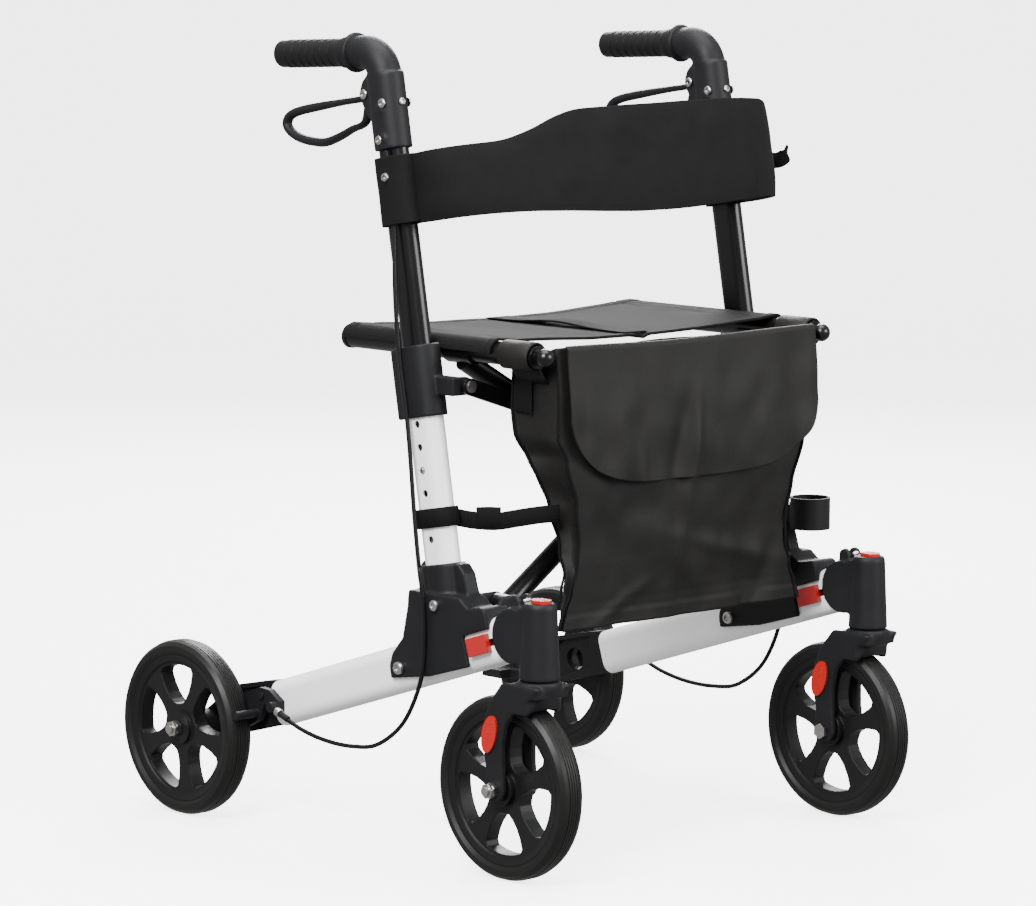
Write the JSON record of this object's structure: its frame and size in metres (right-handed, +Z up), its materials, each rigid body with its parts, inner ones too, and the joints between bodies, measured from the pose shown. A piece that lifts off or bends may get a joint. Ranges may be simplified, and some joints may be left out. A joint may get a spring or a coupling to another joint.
{
  "type": "folding rollator walker",
  "caption": "Side-folding wheeled walking frame with seat, forward-bowed backrest band, shopping bag, height-adjustable handles, hand brakes and a cane cup.",
  "frame": {"origin": "on the floor, midway between the left and right wheels and between the front and rear axles", "axes": "+Z up, -Y the way the walker travels, +X towards the user's right"},
  "size_m": [0.63, 0.698, 0.8918],
  "materials": {
    "white_tube": "satin white enamel on aluminium tube",
    "black_tube": "gloss black enamel on aluminium tube",
    "black_moulding": "charcoal glass-filled nylon, fine grain",
    "wheel_plastic": "black moulded rim",
    "tyre_rubber": "soft black tyre",
    "grip_rubber": "black rubber",
    "cable_sheath": "black cable sheath",
    "zinc": "zinc plated",
    "red_plastic": "red moulding",
    "red_reflector": "prismatic reflector lens",
    "black_cloth": "black nylon cloth"
  },
  "bodies": {
    "left_frame": {"outer_upright_left": "white_tube", "frame_bracket_left": "black_moulding", "collar_left": "black_moulding", "frame_pins_left": "zinc", "bag_tie_strap": "black_cloth", "brake_cable_left": "cable_sheath"},
    "right_frame": {"outer_upright_right": "white_tube", "frame_bracket_right": "black_moulding", "collar_right": "black_moulding", "frame_pins_right": "zinc", "cane_cup": "black_moulding", "brake_cable_right": "cable_sheath"},
    "cross_a": {"cross_bar_a": "black_tube", "seat_rail_right": "black_tube"},
    "cross_b": {"cross_bar_b": "black_tube", "seat_rail_left": "black_tube"},
    "sling": {"seat_fabric": "black_cloth", "bag_body": "black_cloth"},
    "flap": {"bag_flap": "black_cloth"},
    "link_left": {"brace_link_left": "black_tube"},
    "link_right": {"brace_link_right": "black_tube"},
    "lower_left": {"side_tube_left": "white_tube", "rear_bracket_left": "black_moulding", "rear_axle_left": "zinc", "caster_housing_left": "black_moulding", "head_reflector_left": "red_reflector"},
    "rear_wheel_left": {"rear_rim_left": "wheel_plastic", "rear_tyre_left": "tyre_rubber"},
    "caster_left": {"fork_left": "black_moulding", "fork_reflector_left": "red_reflector", "front_axle_left": "zinc"},
    "front_wheel_left": {"front_rim_left": "wheel_plastic", "front_tyre_left": "tyre_rubber"},
    "shoe_left": {"brake_arm_left": "black_moulding"},
    "latch_left": {"latch_button_left": "red_plastic"},
    "handle_left": {"handle_tube_left": "black_tube", "handle_housing_left": "black_moulding", "hand_grip_left": "grip_rubber", "backrest_band": "black_cloth"},
    "lever_left": {"brake_lever_left": "black_moulding"},
    "button_left": {"height_button_left": "zinc"},
    "lower_right": {"side_tube_right": "white_tube", "rear_bracket_right": "black_moulding", "rear_axle_right": "zinc", "caster_housing_right": "black_moulding", "head_reflector_right": "red_reflector"},
    "rear_wheel_right": {"rear_rim_right": "wheel_plastic", "rear_tyre_right": "tyre_rubber"},
    "caster_right": {"fork_right": "black_moulding", "fork_reflector_right": "red_reflector", "front_axle_right": "zinc"},
    "front_wheel_right": {"front_rim_right": "wheel_plastic", "front_tyre_right": "tyre_rubber"},
    "shoe_right": {"brake_arm_right": "black_moulding"},
    "latch_right": {"latch_button_right": "red_plastic"},
    "handle_right": {"handle_tube_right": "black_tube", "handle_housing_right": "black_moulding", "hand_grip_right": "grip_rubber"},
    "lever_right": {"brake_lever_right": "black_moulding"},
    "button_right": {"height_button_right": "zinc"}
  },
  "joints": [
    {"name": "frame_fold", "type": "hinge", "parent": "left_frame", "child": "cross_a", "pos_m": [-0.216, -0.196, 0.284], "axis": [0, -1, 0], "range_deg": [0, 49], "deforming": ["seat_fabric", "bag_body", "bag_flap", "backrest_band", "bag_tie_strap"]},
    {"name": "cross_pivot", "type": "hinge", "parent": "cross_a", "child": "cross_b", "pos_m": [0, -0.161, 0.41511], "axis": [0, -1, 0], "range_deg": [-98, 0]},
    {"name": "right_fold", "type": "hinge", "parent": "cross_b", "child": "right_frame", "pos_m": [0.216, -0.17, 0.284], "axis": [0, -1, 0], "range_deg": [0, 49]},
    {"name": "sling_hang", "type": "hinge", "parent": "cross_b", "child": "sling", "pos_m": [-0.214, -0.1, 0.557], "axis": [0, -1, 0], "range_deg": [0, 49]},
    {"name": "link_left_swing", "type": "hinge", "parent": "left_frame", "child": "link_left", "pos_m": [-0.235, -0.157, 0.5203], "axis": [0, -1, 0], "range_deg": [0, 90.4]},
    {"name": "link_right_swing", "type": "hinge", "parent": "right_frame", "child": "link_right", "pos_m": [0.235, -0.143, 0.5203], "axis": [0, -1, 0], "range_deg": [-90.4, 0]},
    {"name": "bag_flap_lift", "type": "hinge", "parent": "sling", "child": "flap", "pos_m": [0, -0.252, 0.567], "axis": [-1, 0, 0], "range_deg": [0, 150]},
    {"name": "side_tilt_left", "type": "hinge", "parent": "left_frame", "child": "lower_left", "pos_m": [-0.256, -0.094, 0.2107], "axis": [1, 0, 0], "range_deg": [0, 75], "deforming": ["brake_cable_left"]},
    {"name": "rear_wheel_spin_left", "type": "hinge", "parent": "lower_left", "child": "rear_wheel_left", "pos_m": [-0.295, 0.249, 0.1], "axis": [1, 0, 0], "continuous": true},
    {"name": "caster_swivel_left", "type": "hinge", "parent": "lower_left", "child": "caster_left", "pos_m": [-0.256, -0.293, 0.21], "axis": [0, 0, 1], "continuous": true},
    {"name": "front_wheel_spin_left", "type": "hinge", "parent": "caster_left", "child": "front_wheel_left", "pos_m": [-0.256, -0.249, 0.1], "axis": [1, 0, 0], "continuous": true},
    {"name": "brake_squeeze_left", "type": "hinge", "parent": "handle_left", "child": "lever_left", "pos_m": [-0.25, -0.0178, 0.8284], "axis": [1, 0, 0], "range_deg": [0, 12], "stiffness_Nm_per_rad": 2, "springref_deg": -8.59},
    {"name": "brake_shoe_left", "type": "hinge", "parent": "lower_left", "child": "shoe_left", "pos_m": [-0.2744, 0.136, 0.149], "axis": [1, 0, 0], "range_deg": [0, 4]},
    {"name": "latch_slide_left", "type": "slide", "parent": "lower_left", "child": "latch_left", "axis": [0, -0.9511, 0.309], "range_m": [0, 0.005], "stiffness_N_per_m": 400, "springref_m": -0.003},
    {"name": "handle_height_left", "type": "slide", "parent": "left_frame", "child": "handle_left", "axis": [0, 0.1822, 0.9833], "range_m": [-0.075, 0.05], "deforming": ["brake_cable_left"]},
    {"name": "height_button_press_left", "type": "slide", "parent": "handle_left", "child": "button_left", "axis": [1, 0, 0], "range_m": [0, 0.004], "stiffness_N_per_m": 400, "springref_m": -0.002},
    {"name": "side_tilt_right", "type": "hinge", "parent": "right_frame", "child": "lower_right", "pos_m": [0.256, -0.094, 0.2107], "axis": [1, 0, 0], "range_deg": [0, 75], "deforming": ["brake_cable_right"]},
    {"name": "rear_wheel_spin_right", "type": "hinge", "parent": "lower_right", "child": "rear_wheel_right", "pos_m": [0.295, 0.249, 0.1], "axis": [1, 0, 0], "continuous": true},
    {"name": "caster_swivel_right", "type": "hinge", "parent": "lower_right", "child": "caster_right", "pos_m": [0.256, -0.293, 0.21], "axis": [0, 0, 1], "continuous": true},
    {"name": "front_wheel_spin_right", "type": "hinge", "parent": "caster_right", "child": "front_wheel_right", "pos_m": [0.256, -0.249, 0.1], "axis": [1, 0, 0], "continuous": true},
    {"name": "brake_squeeze_right", "type": "hinge", "parent": "handle_right", "child": "lever_right", "pos_m": [0.25, -0.0178, 0.8284], "axis": [1, 0, 0], "range_deg": [0, 12], "stiffness_Nm_per_rad": 2, "springref_deg": -8.59},
    {"name": "brake_shoe_right", "type": "hinge", "parent": "lower_right", "child": "shoe_right", "pos_m": [0.2744, 0.136, 0.149], "axis": [1, 0, 0], "range_deg": [0, 4]},
    {"name": "latch_slide_right", "type": "slide", "parent": "lower_right", "child": "latch_right", "axis": [0, -0.9511, 0.309], "range_m": [0, 0.005], "stiffness_N_per_m": 400, "springref_m": -0.003},
    {"name": "handle_height_right", "type": "slide", "parent": "right_frame", "child": "handle_right", "axis": [0, 0.1822, 0.9833], "range_m": [-0.075, 0.05], "deforming": ["brake_cable_right"]},
    {"name": "height_button_press_right", "type": "slide", "parent": "handle_right", "child": "button_right", "axis": [-1, 0, 0], "range_m": [0, 0.004], "stiffness_N_per_m": 400, "springref_m": -0.002}
  ],
  "couplings": [
    {"joint": "cross_pivot", "follows": "frame_fold", "ratio": -2},
    {"joint": "right_fold", "follows": "frame_fold", "ratio": 1},
    {"joint": "sling_hang", "follows": "frame_fold", "ratio": 1},
    {"joint": "link_left_swing", "follows": "frame_fold", "ratio": 1.8449},
    {"joint": "link_right_swing", "follows": "frame_fold", "ratio": -1.8449},
    {"joint": "brake_shoe_left", "follows": "brake_squeeze_left", "ratio": 0.3333},
    {"joint": "brake_shoe_right", "follows": "brake_squeeze_right", "ratio": 0.3333},
    {"joint": "handle_height_right", "follows": "handle_height_left", "ratio": 1}
  ]
}
